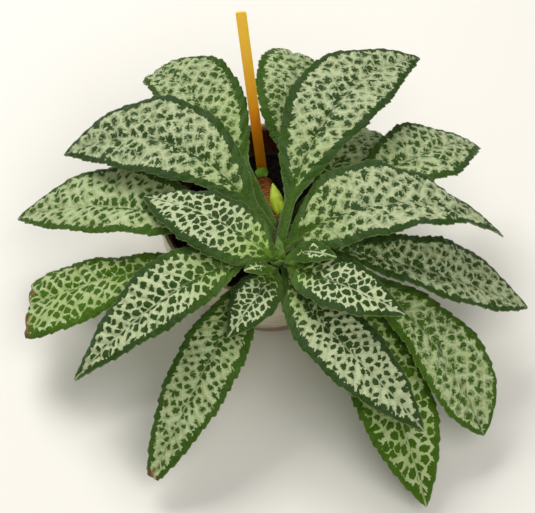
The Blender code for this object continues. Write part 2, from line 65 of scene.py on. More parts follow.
class Field:
    """A number, colour or place that changes over a surface: the output of a node, to reckon with."""

    def __init__(self, output):
        self.tree = output.id_data
        self.output = output

    def node(self, kind, *values):
        """A new node with the values on its first inputs."""
        node = self.tree.nodes.new(kind)
        for value, socket in zip(values, node.inputs):
            feed(value, socket)
        return node

    def reckon(self, operation, *others):
        """Result of a Math node."""
        node = self.node("ShaderNodeMath", self, *others)
        node.operation = operation
        return Field(node.outputs[0])

    def __add__(self, other):
        return self.reckon("ADD", other)

    def __sub__(self, other):
        return self.reckon("SUBTRACT", other)

    def __rsub__(self, other):
        return self.reckon("MULTIPLY_ADD", -1.0, other)

    def __mul__(self, other):
        return self.reckon("MULTIPLY", other)

    def __truediv__(self, other):
        return self.reckon("DIVIDE", other)

    def __abs__(self):
        return self.reckon("ABSOLUTE")

    def fade(self, low, high, start=0.0, finish=1.0):
        """Smooth change from start to finish while the field goes from low to high."""
        node = self.node("ShaderNodeMapRange", self, low, high, start, finish)
        node.interpolation_type = "SMOOTHSTEP"
        return Field(node.outputs["Result"])

    def between(self, first, second):
        """The colour that lies this share of the way from the first to the second."""
        node = self.node("ShaderNodeMix", self)
        node.data_type = "RGBA"
        feed(first, node.inputs[6])
        feed(second, node.inputs[7])
        return Field(node.outputs[2])

    def cloud(self, size, detail=2.0, stretch=(1, 1, 1)):
        """Noise whose features are about size across, longer along an axis where stretch is under 1."""
        spread = self.node("ShaderNodeVectorMath", self, stretch)
        spread.operation = "MULTIPLY"
        node = self.node("ShaderNodeTexNoise", Field(spread.outputs[0]))
        node.inputs["Scale"].default_value = 1 / size
        node.inputs["Detail"].default_value = detail
        return Field(node.outputs[0])

    def cells(self, size, feature="DISTANCE_TO_EDGE"):
        """Distance in the cells of a Voronoi pattern, as a share of their size."""
        node = self.node("ShaderNodeTexVoronoi", self)
        node.feature = feature
        node.inputs["Scale"].default_value = 1 / size
        return Field(node.outputs["Distance"])

    def parts(self):
        """X, Y and Z, or red, green and blue."""
        return [Field(output) for output in self.node("ShaderNodeSeparateXYZ", self).outputs]


def feed(value, socket):
    """Join a field to a socket, or set the socket to a plain value."""
    if isinstance(value, Field):
        value.tree.links.new(value.output, socket)
    else:
        socket.default_value = value


def new_finish(name, sheet=None):
    """A material, its shader, and the places in the object, or on its flat sheet, that a pattern follows."""
    material = bpy.data.materials.new(name)
    material.use_nodes = True
    tree = material.node_tree
    if sheet:
        node = tree.nodes.new("ShaderNodeUVMap")
        node.uv_map = sheet
        place = Field(node.outputs[0])
    else:
        place = Field(tree.nodes.new("ShaderNodeTexCoord").outputs["Object"])
    return material, tree.nodes["Principled BSDF"], place


def coat(shader, colour, roughness, plain=()):
    """Colour and roughness of a shader, and its plain settings as (name, value) pairs."""
    for name, value in (("Base Color", colour), ("Roughness", roughness), *plain):
        feed(value, shader.inputs[name])


def emboss(shader, height, depth):
    """Small relief up to depth metres deep on a shader."""
    node = height.node("ShaderNodeBump")
    node.inputs["Strength"].default_value = 1
    node.inputs["Distance"].default_value = depth
    feed(height, node.inputs["Height"])
    feed(Field(node.outputs["Normal"]), shader.inputs["Normal"])


def flowing(points, cuts):
    """A smooth line through the points, each span cut into that many steps."""
    points = [Vector(point) for point in points]
    knots = [2 * points[0] - points[1]] + points + [2 * points[-1] - points[-2]]
    line = []
    for a, b, c, d in zip(knots, knots[1:], knots[2:], knots[3:]):
        for i in range(cuts):
            t = i / cuts
            line.append(0.5 * (2 * b + (c - a) * t + (2 * a - 5 * b + 4 * c - d) * t * t
                               + (3 * b - a - 3 * c + d) * t ** 3))
    return line + [points[-1]]


def as_mesh(name, bm):
    mesh = bpy.data.meshes.new(name)
    bm.to_mesh(mesh)
    bm.free()
    return mesh


def put(name, data):
    """A new object in the scene, at the origin."""
    thing = bpy.data.objects.new(name, data)
    bpy.context.scene.collection.objects.link(thing)
    return thing


def set_down(name, bm, material, crease=35):
    """The finished mesh as an object, riding the plant's one body."""
    mesh = as_mesh(name, bm)
    mesh.materials.append(material)
    mesh.shade_smooth()
    mesh.set_sharp_from_angle(angle=math.radians(crease))
    piece = put(name, mesh)
    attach(piece, "root")
    return piece


def turned(profile, steps):
    """A closed body turned about Z from (radius, height) points that start and end on the axis."""
    bm = bmesh.new()
    verts = [bm.verts.new((radius, 0, height)) for radius, height in profile]
    edges = [bm.edges.new(pair) for pair in zip(verts, verts[1:])]
    bmesh.ops.spin(bm, geom=verts + edges, cent=(0, 0, 0), axis=(0, 0, 1), angle=math.tau, steps=steps,
                   use_merge=True)
    bmesh.ops.remove_doubles(bm, verts=bm.verts, dist=0.00001)
    bmesh.ops.recalc_face_normals(bm, faces=bm.faces)
    return bm


cream_glaze, shader, place = new_finish("cream glaze")
height = place.parts()[2]
pooling = place.cloud(24 * mm)
glaze = pooling.fade(0.35, 0.7).between(GLAZE_CREAM, GLAZE_SHADE)
speck = (place.cells(5.5 * mm, "F1") + place.cloud(9 * mm)).fade(0.34, 0.42, 1.0, 0.0)
glaze = (speck * 0.7).between(glaze, IRON_SPECK)
thin_lip = (height + pooling * (0.8 * mm)).fade(73.1 * mm, 74.1 * mm)
glaze = (thin_lip * 0.75).between(glaze, GLAZE_TAN)
bare = (height - place.cloud(15 * mm) * (1.6 * mm)).fade(2.6 * mm, 2.9 * mm, 1.0, 0.0)
grit = place.cloud(0.7 * mm, 4)
clay = grit.between(BARE_CLAY, GLAZE_TAN)
coat(shader, bare.between(glaze, clay), bare.fade(0.0, 1.0, 0.22, 0.85))
emboss(shader, pooling * 0.8 + grit * bare, 0.25 * mm)

outside = [(point.x * mm, point.y * mm) for point in flowing([(r, h, 0) for r, h in OUTER_PROFILE], 8)]
marked = [(radius + TURNING_MARK * math.sin(height / (1.5 * mm)) * math.sin(height / (11 * mm)) ** 2, height)
          for radius, height in outside[1:]]
floor = [(0, OUTER_FLOOR), (outside[-1][0] - 1.5 * mm, OUTER_FLOOR), (outside[-1][0] - 0.2 * mm, 7.4 * mm)]
inside = [(radius - OUTER_WALL, height) for radius, height in reversed(outside[1:-1])
          if height > INSIDE_BOTTOM]
half_wall = OUTER_WALL / 2
rim = []
for i in range(11):
    angle = math.pi * i / 10
    rim.append((outside[0][0] - half_wall * (1 + math.cos(angle)),
                OUTER_HEIGHT - half_wall * (1 - math.sin(angle))))
foot = [(FOOT_RADIUS - inset * mm, height * mm) for inset, height in (
    (0.9, 4.0), (0.15, 3.4), (0, FOOT_HEIGHT / mm), (0, 0.6), (0.2, 0.15), (0.6, 0), (5, 0), (5.8, 0.8))]
foot += [(FOOT_RADIUS - 7 * mm, FOOT_HOLLOW), (0, FOOT_HOLLOW)]
bm = turned(floor + inside + rim + marked + foot, OUTER_STEPS)
outer_pot = set_down("glazed_pot", bm, cream_glaze)
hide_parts("outer_pot")

# Nursery pot: the thin moulded pot that the plant grew up in, lifted into the outer pot.
# Glossy dark maroon polypropylene, with a flared rim band, a rolled lip and five drain holes.
GAP = 0.3 * mm
NURSERY_TOP = 72 * mm
NURSERY_RIM_RADIUS = 62.6 * mm
NURSERY_BAND = 18 * mm
NURSERY_SHOULDER_RADIUS = 60.3 * mm
NURSERY_BASE_RADIUS = 36 * mm
NURSERY_WALL = 1.1 * mm
NURSERY_FLOOR = 1.5 * mm
NURSERY_STEPS = 120
DRAIN_HOLES = 5
DRAIN_RADIUS = 4 * mm
DRAIN_CIRCLE = 21 * mm
PLASTIC_MAROON = (0.105, 0.013, 0.014, 1)
PLASTIC_BROWN = (0.06, 0.022, 0.014, 1)
SOIL_DUST = (0.05, 0.04, 0.03, 1)

maroon_plastic, shader, place = new_finish("maroon plastic")
moulded = place.cloud(18 * mm).between(PLASTIC_MAROON, PLASTIC_BROWN)
grime = place.parts()[2].fade(54 * mm, 64 * mm, 1.0, 0.0) * place.cloud(3 * mm, 4).fade(0.45, 0.62)
scuffs = place.cloud(2.5 * mm, 3, (1, 1, 0.15))
coat(shader, (grime * 0.7).between(moulded, SOIL_DUST), scuffs.fade(0.4, 0.7, 0.22, 0.36) + grime * 0.4)
emboss(shader, scuffs, 0.04 * mm)

nursery_base = OUTER_FLOOR + GAP
nursery_floor = nursery_base + NURSERY_FLOOR
shoulder = NURSERY_TOP - NURSERY_BAND
band = NURSERY_SHOULDER_RADIUS + 0.5 * mm


def nursery_outside(height):
    """Outside radius of the tapered body."""
    share = (height - nursery_base) / (shoulder - nursery_base)
    return NURSERY_BASE_RADIUS + (NURSERY_SHOULDER_RADIUS - NURSERY_BASE_RADIUS) * share


corner = nursery_outside(nursery_floor) - NURSERY_WALL
wall = NURSERY_WALL / mm
profile = [(0, nursery_floor), (corner - 0.6 * mm, nursery_floor), (corner, nursery_floor + 0.6 * mm),
           (NURSERY_SHOULDER_RADIUS - NURSERY_WALL, shoulder), (band - NURSERY_WALL, shoulder + 1 * mm)]
profile += [(NURSERY_RIM_RADIUS - inset * mm, NURSERY_TOP - below * mm) for inset, below in (
    (wall + 0.7, 2), (wall + 0.3, 0.5), (wall, 0.1), (wall * 0.65, 0), (wall * 0.35, 0), (0.1, 0.15),
    (0, 0.6), (0, 1.6), (0.15, 2.1), (0.5, 2.3))]
profile += [(band + 0.1 * mm, shoulder + 0.3 * mm), (band, shoulder),
            (NURSERY_SHOULDER_RADIUS + 0.1 * mm, shoulder - 0.3 * mm),
            (NURSERY_SHOULDER_RADIUS, shoulder - 0.6 * mm),
            (NURSERY_BASE_RADIUS + 0.3 * mm, nursery_base + 0.5 * mm),
            (NURSERY_BASE_RADIUS - 0.5 * mm, nursery_base), (0, nursery_base)]
nursery_pot = set_down("moulded_pot", turned(profile, NURSERY_STEPS), maroon_plastic)
bm = bmesh.new()
for i in range(DRAIN_HOLES):
    angle = math.tau * (i + 0.5) / DRAIN_HOLES
    centre = (math.cos(angle) * DRAIN_CIRCLE, math.sin(angle) * DRAIN_CIRCLE,
              nursery_base + NURSERY_FLOOR / 2)
    bmesh.ops.create_cone(bm, cap_ends=True, segments=24, radius1=DRAIN_RADIUS, radius2=DRAIN_RADIUS,
                          depth=4 * mm, matrix=Matrix.Translation(centre))
drill = put("drain_drill", as_mesh("drain_drill", bm))
bore = nursery_pot.modifiers.new("drain holes", "BOOLEAN")
bore.object = drill
bore.solver = "EXACT"
bpy.context.view_layer.update()
drained = bpy.data.meshes.new_from_object(nursery_pot.evaluated_get(bpy.context.evaluated_depsgraph_get()))
nursery_pot.modifiers.clear()
nursery_pot.data = drained
bpy.data.objects.remove(drill, do_unlink=True)
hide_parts("nursery_pot")

# Soil: a dark, fibrous peat mix, moist and nearly black, filled to a finger's width under the rim.
# Crumbs and short bark fibres lie loose on its lumpy top.
SOIL_LEVEL = 53 * mm
SOIL_STEPS = 128
CRUMBS = 620
FIBRES = 90
PEAT_DARK = (0.004, 0.003, 0.003, 1)
PEAT_LIGHT = (0.020, 0.013, 0.010, 1)
FIBRE_BROWN = (0.10, 0.06, 0.03, 1)

potting_soil, shader, place = new_finish("potting soil")
crumble = place.cloud(1.6 * mm, 6)
coat(shader, crumble.fade(0.4, 0.75).between(PEAT_DARK, PEAT_LIGHT),
     place.cloud(9 * mm).fade(0.4, 0.6, 0.75, 0.95), [("Specular IOR Level", 0.15)])
emboss(shader, crumble, 0.8 * mm)

bark_fibre, shader, place = new_finish("bark fibre")
strands = place.cloud(0.5 * mm, 3)
coat(shader, strands.between(PEAT_LIGHT, FIBRE_BROWN), strands.fade(0.3, 0.7, 0.7, 0.95))
emboss(shader, strands, 0.1 * mm)


def soil_height(x, y):
    """Lumpy top of the soil."""
    waves = math.sin(x / (5.1 * mm) + 1) * math.cos(y / (4.3 * mm)) + 0.6 * math.sin((x + y) / (2.9 * mm))
    lumps = noise.noise(Vector((x, y, 0)) / (3.5 * mm)) + 0.5 * noise.noise(Vector((x, y, 9)) / (1.4 * mm))
    return SOIL_LEVEL + 0.7 * mm * waves + 0.7 * mm * lumps


def somewhere(rng, radius):
    """A random x and y within the radius."""
    reach = radius * math.sqrt(rng.random())
    angle = rng.uniform(0, math.tau)
    return reach * math.cos(angle), reach * math.sin(angle)


def jolt(rng, reach):
    """A random push of up to reach along each axis."""
    return Vector([rng.uniform(-reach, reach) for axis in range(3)])


def pour(into, bm):
    """Add a finished mesh to another."""
    mesh = as_mesh("batch", bm)
    into.from_mesh(mesh)
    bpy.data.meshes.remove(mesh)


def soil_edge(height):
    """Radius of the soil at a height, just clear of the nursery pot's wall."""
    return nursery_outside(height) - NURSERY_WALL - 2 * GAP


soil_base = nursery_floor + GAP
soil_radius = soil_edge(SOIL_LEVEL)
low = SOIL_LEVEL - 3 * mm
profile = [(soil_radius * i / 36, SOIL_LEVEL) for i in range(36)]
profile += [(soil_radius, SOIL_LEVEL - 1.4 * mm), (soil_edge(low), low), (soil_edge(soil_base), soil_base),
            (0, soil_base)]
bm = turned(profile, SOIL_STEPS)
for vert in bm.verts:
    if vert.co.z > SOIL_LEVEL - 0.5 * mm:
        vert.co.z = soil_height(vert.co.x, vert.co.y)
soil = set_down("peat", bm, potting_soil)
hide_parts("soil")

rng = random.Random(5)
bm = bmesh.new()
batch = bmesh.new()
for i in range(CRUMBS):
    if i % 60 == 59:
        pour(bm, batch)
        batch = bmesh.new()
    x, y = somewhere(rng, soil_radius * 0.965)
    size = rng.uniform(0.35, 1.5) * mm * rng.uniform(0.6, 1.0)
    inward = min(1.0, (soil_radius - size - 0.3 * mm) / math.hypot(x, y))
    x, y = x * inward, y * inward
    squash = Matrix.Diagonal((rng.uniform(0.7, 1.3), rng.uniform(0.7, 1.3), rng.uniform(0.5, 0.9), 1))
    turn = Matrix.Rotation(rng.uniform(0, math.tau), 4, "Z")
    spot = Matrix.Translation((x, y, soil_height(x, y) + size * 0.25))
    crumb = bmesh.ops.create_icosphere(batch, subdivisions=1, radius=size, matrix=spot @ turn @ squash)
    for vert in crumb["verts"]:
        vert.co += jolt(rng, 1) * size * 0.18
pour(bm, batch)
crumbs = set_down("soil_crumbs", bm, potting_soil, crease=60)

bm = bmesh.new()
for i in range(FIBRES):
    x, y = somewhere(rng, soil_radius * 0.88)
    length = rng.uniform(2, 6) * mm
    lean = Matrix.Rotation(rng.uniform(1.35, 1.75), 4, "X")
    turn = Matrix.Rotation(rng.uniform(0, math.tau), 4, "Z")
    spot = Matrix.Translation((x, y, soil_height(x, y) + 0.7 * mm))
    thick = rng.uniform(0.15, 0.4) * mm
    bmesh.ops.create_cone(bm, cap_ends=True, segments=6, radius1=thick, radius2=thick * 0.4, depth=length,
                          matrix=spot @ turn @ lean)
fibres = set_down("soil_fibres", bm, bark_fibre)

# Stem: the bare lower stem, leaning over the rim side of the pot towards the crown.
# Corky orange-brown bark, ringed by the scars that fallen leaves left, standing in the soil.
STEM_RADIUS = 5.6 * mm
RING_SPACING = 3.5 * mm
RING_DEPTH = 0.6 * mm
RING_WANDER = 1.3 * mm
SCAR_DEPTH = 0.55 * mm
STEM_POINTS = [(5, -60, 98), (5.5, -57.5, 94), (5.5, -51, 90.5), (4, -31, 83), (0.5, -6, 72.5),
               (-2.5, 17, 62), (-4.5, 33, 52.5), (-5.5, 38.5, 43), (-5.5, 39.5, 33)]
BARK_TAN = (0.56, 0.19, 0.035, 1)
BARK_RED = (0.13, 0.03, 0.008, 1)
BARK_PALE = (0.64, 0.31, 0.10, 1)
STEM_SHADED_GREEN = (0.018, 0.040, 0.008, 1)
STEM_AROUND = 44
STEM_STEPS = 360

ringed_bark, shader, place = new_finish("ringed bark", "bark")
down = place.parts()[1]
wrinkles = place.cloud(1.1 * mm, 4, (0.25, 1, 1))
flakes = place.cloud(5 * mm)
ring = abs((down * (math.pi / RING_SPACING)).reckon("SINE"))
bark = wrinkles.fade(0.35, 0.65).between(BARK_RED, BARK_TAN)
bark = (flakes - ring * 0.4).fade(0.35, 0.6, 0.0, 0.5).between(bark, BARK_PALE)
bark = ring.fade(0.6, 0.98, 0.0, 0.9).between(bark, BARK_RED)
# Painted shade: the top of the stem under the crown is painted a very dark green, partly its own young green
# and partly painted shade under the leaves.
green_and_shaded_top = (down + flakes * (8 * mm)).fade(44 * mm, 62 * mm, 0.95, 0.0)
coat(shader, green_and_shaded_top.between(bark, STEM_SHADED_GREEN), wrinkles.fade(0.3, 0.7, 0.8, 0.55),
     [("Specular IOR Level", 0.2)])
emboss(shader, wrinkles, 0.35 * mm)


class StemLine:
    """The stem's centre line, measured from the crown down."""

    def __init__(self):
        self.points = [point * mm for point in flowing(STEM_POINTS, 20)]
        self.marks = [0.0]
        for first, second in zip(self.points, self.points[1:]):
            self.marks.append(self.marks[-1] + (second - first).length)
        self.length = self.marks[-1]

    def at(self, distance):
        distance = min(max(distance, 0.0), self.length)
        for i in range(1, len(self.marks)):
            if distance <= self.marks[i]:
                break
        share = (distance - self.marks[i - 1]) / (self.marks[i] - self.marks[i - 1])
        return self.points[i - 1].lerp(self.points[i], share)

    def along(self, distance):
        """Unit vector down the stem, away from the crown."""
        return (self.at(distance + 1 * mm) - self.at(max(distance - 1 * mm, 0))).normalized()


def ring_drift(angle, distance):
    """How far the rings wander along the stem at this side of it."""
    spot = Vector((math.cos(angle) * 1.1, math.sin(angle) * 1.1, distance / (9 * mm)))
    return RING_WANDER * noise.noise(spot)


def stem_taper(distance, length):
    crown = min(1.15, 0.32 + 0.68 * (distance / (34 * mm)) ** 1.5)
    root = min(1.0, 0.6 + 0.4 * (length - distance) / (8 * mm))
    return crown * root


stem_line = StemLine()
bm = bmesh.new()
bmesh.ops.create_grid(bm, x_segments=STEM_AROUND, y_segments=STEM_STEPS, size=0.5)
sheet = bm.loops.layers.uv.new("bark")
for face in bm.faces:
    for loop in face.loops:
        angle = (loop.vert.co.x + 0.5) * math.tau
        distance = (loop.vert.co.y + 0.5) * stem_line.length
        loop[sheet].uv = (angle * STEM_RADIUS, distance + ring_drift(angle, distance))
for vert in bm.verts:
    angle = (vert.co.x + 0.5) * math.tau
    distance = (vert.co.y + 0.5) * stem_line.length
    centre, axis = stem_line.at(distance), stem_line.along(distance)
    side = axis.cross(Vector((1, 0, 0))).normalized()
    front = side.cross(axis)
    around = Vector((math.cos(angle), math.sin(angle), 0))
    ring = abs(math.sin(math.pi * (distance + ring_drift(angle, distance)) / RING_SPACING))
    fine = noise.noise(Vector((around.x * 2.2, around.y * 2.2, distance / (0.7 * mm))))
    lump = noise.noise(around * 1.5 + Vector((3, 0, distance / (4 * mm))))
    aged = min(1.0, distance / (55 * mm))
    groove = aged * (RING_DEPTH * ring ** 1.6 + SCAR_DEPTH * math.exp(-((1 - ring) / 0.16) ** 2))
    radius = STEM_RADIUS - groove + 0.2 * mm * fine + 0.3 * mm * lump
    radius *= stem_taper(distance, stem_line.length)
    vert.co = centre + (front * math.cos(angle) + side * math.sin(angle)) * radius
bmesh.ops.remove_doubles(bm, verts=bm.verts, dist=0.00001)
bmesh.ops.holes_fill(bm, edges=[edge for edge in bm.edges if edge.is_boundary], sides=0)
bmesh.ops.recalc_face_normals(bm, faces=bm.faces)
stem = set_down("scarred_stem", bm, ringed_bark, crease=80)
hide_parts("stem")

# Plant label: a plain strip cut from yellow plastic sheet, pointed at its foot and pushed into the soil.
# It lets some light through and is blank.
LABEL_WIDTH = 6.2 * mm
LABEL_THICKNESS = 0.9 * mm
LABEL_FOOT = Vector((-3, 44, 33)) * mm
LABEL_TOP = Vector((-16.6, 58.5, 176)) * mm
LABEL_POINT = 12 * mm
LABEL_CORNER = 1.2 * mm
LABEL_GLOW_YELLOW = (0.95, 0.60, 0.05, 1)
LABEL_ORANGE = (0.97, 0.39, 0.012, 1)

yellow_plastic, shader, place = new_finish("yellow plastic")
# Painted light: the strip is painted yellow towards its top, where light shines through it, and orange
# towards its foot.
tone = place.parts()[2] + place.cloud(12 * mm) * (14 * mm)
handling = place.cloud(1.3 * mm, 4, (1, 1, 0.2))
coat(shader, tone.fade(80 * mm, 165 * mm).between(LABEL_ORANGE, LABEL_GLOW_YELLOW),
     handling.fade(0.35, 0.7, 0.32, 0.5),
     [("Subsurface Weight", 0.8), ("Subsurface Radius", (1.0, 0.6, 0.1)), ("Subsurface Scale", 2 * mm)])
emboss(shader, handling, 0.03 * mm)

up = (LABEL_TOP - LABEL_FOOT).normalized()
across = Vector((1, 0, 0))
across = (across - up * across.dot(up)).normalized()
out = across.cross(up)
length = (LABEL_TOP - LABEL_FOOT).length
half = LABEL_WIDTH / 2
right = [(0.8 * mm, 0), (half, LABEL_POINT), (half, length - LABEL_CORNER),
         (half - LABEL_CORNER / 3, length - LABEL_CORNER / 3), (half - LABEL_CORNER, length)]
outline = [(-0.8 * mm, 0)] + right + [(-x, y) for x, y in reversed(right[1:])]
bm = bmesh.new()
back = -out * LABEL_THICKNESS / 2
face = bm.faces.new([bm.verts.new(LABEL_FOOT + across * x + up * y + back) for x, y in outline])
grown = bmesh.ops.extrude_face_region(bm, geom=[face])["geom"]
far_side = [part for part in grown if isinstance(part, bmesh.types.BMVert)]
bmesh.ops.translate(bm, verts=far_side, vec=-2 * back)
bmesh.ops.bevel(bm, geom=bm.edges[:], offset=0.12 * mm, affect="EDGES", segments=2, profile=0.5, material=-1)
bmesh.ops.recalc_face_normals(bm, faces=bm.faces)
label = set_down("blank_label", bm, yellow_plastic)
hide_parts("plant_label")

# Leaves: twenty thick, softly hairy blades, the youngest at the crown, each on a stalk grown from the stem.
# The upper face is dark green at the edge and cream inside, with green cells left between the veins.
# The under face is plain pale green with raised veins.
STALK_THICKNESS = 3.2 * mm
STALK_HALF_WIDTH = 2.5 * mm
BLADE_THICKNESS = 0.9 * mm
TIP_HALF_WIDTH = 0.5 * mm
TOOTH_SPACING = 8.5 * mm
TOOTH_DEPTH = 1.5 * mm
TOOTH_PEAK = 0.86
WAVE_HEIGHT = 1.3 * mm
HALF_CROWN = 0.16
VEIN_LEAN = 0.85
VEIN_SPACING = 0.17
ROW_ACROSS = 0.762
ROW_ALONG = 0.648
ROW_OUT = 1.313
QUILT_MM = 1.05
FURROW_MM = 0.35
CHANNEL_MM = 0.7
ROW_SPACING = 0.75 * mm
COLUMN_SPACING = 1.15 * mm
SEAT = 6.5 * mm
YOUNG_SEAT = 4.2 * mm
CELL_DISORDER = 0.72
DOT_SHARE = 0.30


@dataclass
class Leaf:
    """One leaf: where it leaves the stem, how its midrib runs, the shape of its blade, and its colouring.

    back: distance down the stem from the crown (mm). heading: direction of the tip as seen from above,
    in degrees from +X. reach, drop: the tip's distance from the stem and its height over it (mm).
    rise, fall: slope of the midrib at the stem and at the tip (degrees). veer, hook: how far the heading
    is off there (degrees). width: widest breadth (mm), at the fraction widest of the blade. base, point:
    roundness of the blade's two ends. stalk: fraction of the length without blade. roll, twist: tilt
    about the midrib at the stem, and its change towards the tip (degrees). fold: how far each half is
    raised (degrees). cut: fraction missing at a withered tip. skew: how much broader the left half is.
    start, end: how straight the midrib leaves the stem and runs into the tip (fractions of the distance).
    age: 0 is a young leaf with a fine pale net, 1 an old one that is mostly pale. sun: painted light shining
    through the blade from behind, which paints the green yellower and the pale a deeper lime. brown: how far
    the tip has withered.
    """
    name: str
    back: float
    heading: float
    reach: float
    drop: float
    rise: float
    fall: float
    veer: float
    hook: float
    width: float
    widest: float = 0.5
    base: float = 1.9
    point: float = 1.9
    stalk: float = 0.10
    roll: float = 0
    twist: float = 0
    fold: float = 12
    cut: float = 0
    skew: float = 0
    start: float = 0.36
    end: float = 0.46
    age: float = 0.8
    sun: float = 0.2
    brown: float = 0


LEAVES = [
    Leaf("leaf_a", 40, 121.5, 156, -18, 1, -66, -14, 6, 47, point=1.6, stalk=0.24, twist=-4, skew=-0.2,
         end=0.48, sun=0.4, brown=0.3),
    Leaf("leaf_b", 32, 149, 151, -16, 30, -43, -21, 19, 56, widest=0.54, base=1.8, fold=13, roll=-6,
         skew=-0.1, start=0.41, sun=0.1),
    Leaf("leaf_c", 33, 163, 165, -42, 13, -40, 12, 0, 52, widest=0.6, point=2.1, fold=14, skew=-0.15,
         age=0.62, sun=0.6, brown=0.3),
    Leaf("leaf_d", 4, 147, 94, -3, 31, -32, 3, -7, 39, widest=0.42, base=3.2, stalk=0.0, fold=6, skew=0.12,
         age=0.3, sun=0.15),
    Leaf("leaf_e", 38, -174, 167, -62, -2, -42, 16, -8, 46, widest=0.7, base=1.4, point=2.6, stalk=0.2,
         fold=9, cut=0.12, skew=0.2, age=0.16, sun=1.0, brown=1.0),
    Leaf("leaf_f", 16, -155, 129, -47, 24, -52, 6, -6, 43, widest=0.42, point=1.7, skew=-0.12, age=0.38),
    Leaf("leaf_g", 8, -125, 51, -15, 6, -44, 16, -12, 26, base=2.3, stalk=0.03, fold=8, age=0.1),
    Leaf("leaf_h", 26, -122, 140, -73, -4, -48, 7, -3, 36, widest=0.45, point=2.4, fold=8, cut=0.04,
         age=0.6, sun=0.6, brown=0.8),
    Leaf("leaf_i", 11, -49, 121, -37, 2, -42, -24, 14, 39, point=2.3, base=2.2, stalk=0.03, fold=10,
         age=0.52, sun=0.1),
    # leaf_j lies under leaf_i: its age and sun colour it darker, partly its own pattern and partly painted
    # shade.
    Leaf("leaf_j", 27, -57, 153, -76, -9, -42, 10, -13, 44, widest=0.6, point=2.4, fold=10, skew=0.05,
         age=0.0, sun=1.0),
    Leaf("leaf_k", 7, -28, 78, 0, 24, -32, -21, 16, 34, base=2.3, stalk=0.03, fold=10, age=0.15, sun=0.15),
    Leaf("leaf_l", 34, -39, 152, -61, 1, -50, 8, -18, 46, widest=0.7, base=1.5, point=2.5, stalk=0.24,
         fold=16, roll=-8, skew=0.08, age=0.85, sun=0.85),
    Leaf("leaf_m", 24, -4, 147, -45, 21, -44, -20, 18, 42, widest=0.64, base=1.4, point=2.2, fold=14,
         skew=0.22, age=0.85),
    Leaf("leaf_n", 19, 10, 133, -15, 41, -50, 2, -2, 57, widest=0.4, point=1.5, base=3.0, stalk=0.01,
         fold=14, roll=4, twist=-24, skew=0.14, start=0.43, end=0.52, age=0.75, sun=0.1),
    Leaf("leaf_o", 25, 58, 165, 8, 31, -28, 18, -19, 54, widest=0.56, point=1.6, skew=0.1, fold=14,
         start=0.41, end=0.4, sun=0.1),
    Leaf("leaf_p", 41, 86, 153, -18, 3, -66, -13, 7, 42, widest=0.44, base=2.2, point=1.5, stalk=0.22,
         roll=6, twist=14, fold=8, skew=0.2, end=0.48, sun=0.5, brown=0.3),
    Leaf("leaf_q", 35, 37, 158, -31, 12, -50, -8, 10, 50, widest=0.52, base=1.6, point=1.2, stalk=0.26,
         fold=14, age=0.85, sun=0.3),
    Leaf("leaf_r", 47, 55, 109, -22, 2, -64, -12, 0, 38, fold=10, stalk=0.24, sun=0.4),
    Leaf("leaf_s", 2, -154, 22, 5.5, 46, -28, 24, -10, 12, stalk=0.08, fold=8, age=0.0, sun=0.6),
    Leaf("leaf_t", 2, -8, 32, 11, 52, -20, 14, 0, 15, stalk=0.06, fold=10, age=0.0, sun=0.4),
]

LEAF_DARK = (0.019, 0.052, 0.005, 1)
LEAF_BLUE_SHEEN = (0.029, 0.058, 0.021, 1)
LEAF_SUNNY = (0.056, 0.135, 0.002, 1)
LEAF_CREAM = (0.58, 0.655, 0.41, 1)
LEAF_SAGE = (0.325, 0.375, 0.205, 1)
LEAF_LIME = (0.30, 0.42, 0.12, 1)
LEAF_HALO = (0.165, 0.225, 0.10, 1)
LEAF_TENDER = (0.27, 0.43, 0.045, 1)
LEAF_STALK = (0.16, 0.31, 0.03, 1)
LEAF_EDGE = (0.17, 0.24, 0.07, 1)
LEAF_BROWN = (0.17, 0.065, 0.022, 1)
UNDER_GREEN = (0.13, 0.21, 0.05, 1)
UNDER_VEIN = (0.26, 0.35, 0.11, 1)


def outputs_of(node):
    """A node's outputs by name, as fields."""
    return {output.name: Field(output) for output in node.outputs}


def stored(place, name):
    """A number stored over the leaf's surface."""
    node = place.node("ShaderNodeAttribute")
    node.attribute_name = name
    return Field(node.outputs["Fac"])


def joined(*parts):
    """A place from its parts along X, Y and Z."""
    return Field(parts[0].node("ShaderNodeCombineXYZ", *parts).outputs[0])


def flat_cells(x, y, randomness, feature):
    """Cells on a flat sheet whose units are x and y."""
    node = x.node("ShaderNodeTexVoronoi", joined(x, y))
    node.voronoi_dimensions = "2D"
    node.feature = feature
    node.inputs["Scale"].default_value = 1
    node.inputs["Randomness"].default_value = randomness
    return outputs_of(node)


# The mottling of the upper face, in rows along the side veins. A young leaf has a pale net round green cells.
# On an old leaf the pale has spread, and clusters of green dots are left. It stops short of the leaf's edge.
# All its lengths are in mm: x is measured across the side veins, and y along them.
mottling = bpy.data.node_groups.new("leaf mottling", "ShaderNodeTree")
mottling.interface.new_socket(name="Place", in_out="INPUT", socket_type="NodeSocketVector")
for way, names in (("INPUT", ("Edge", "Along", "Age", "Margin", "Pitch", "Start", "Seed")),
                   ("OUTPUT", ("Pale", "Halo", "Line", "Relief", "Tone"))):
    for name in names:
        mottling.interface.new_socket(name=name, in_out=way, socket_type="NodeSocketFloat")
given = outputs_of(mottling.nodes.new("NodeGroupInput"))
edge, along, age = given["Edge"], given["Along"], given["Age"]
pitch, start, seed = given["Pitch"], given["Start"], given["Seed"]
slant, over, _ = given["Place"].parts()
across = abs(over)
shift = over.reckon("SIGN") * 50.0 + seed * 7.0
spot_place = joined(slant, over, seed)
wander = pitch * 0.5
x = (spot_place.cloud(5.0) - 0.5) * wander + slant * ROW_ACROSS
y = (spot_place.cloud(4.0) - 0.5) * wander + (slant * ROW_ALONG + across * ROW_OUT)
big_x = x / pitch + shift
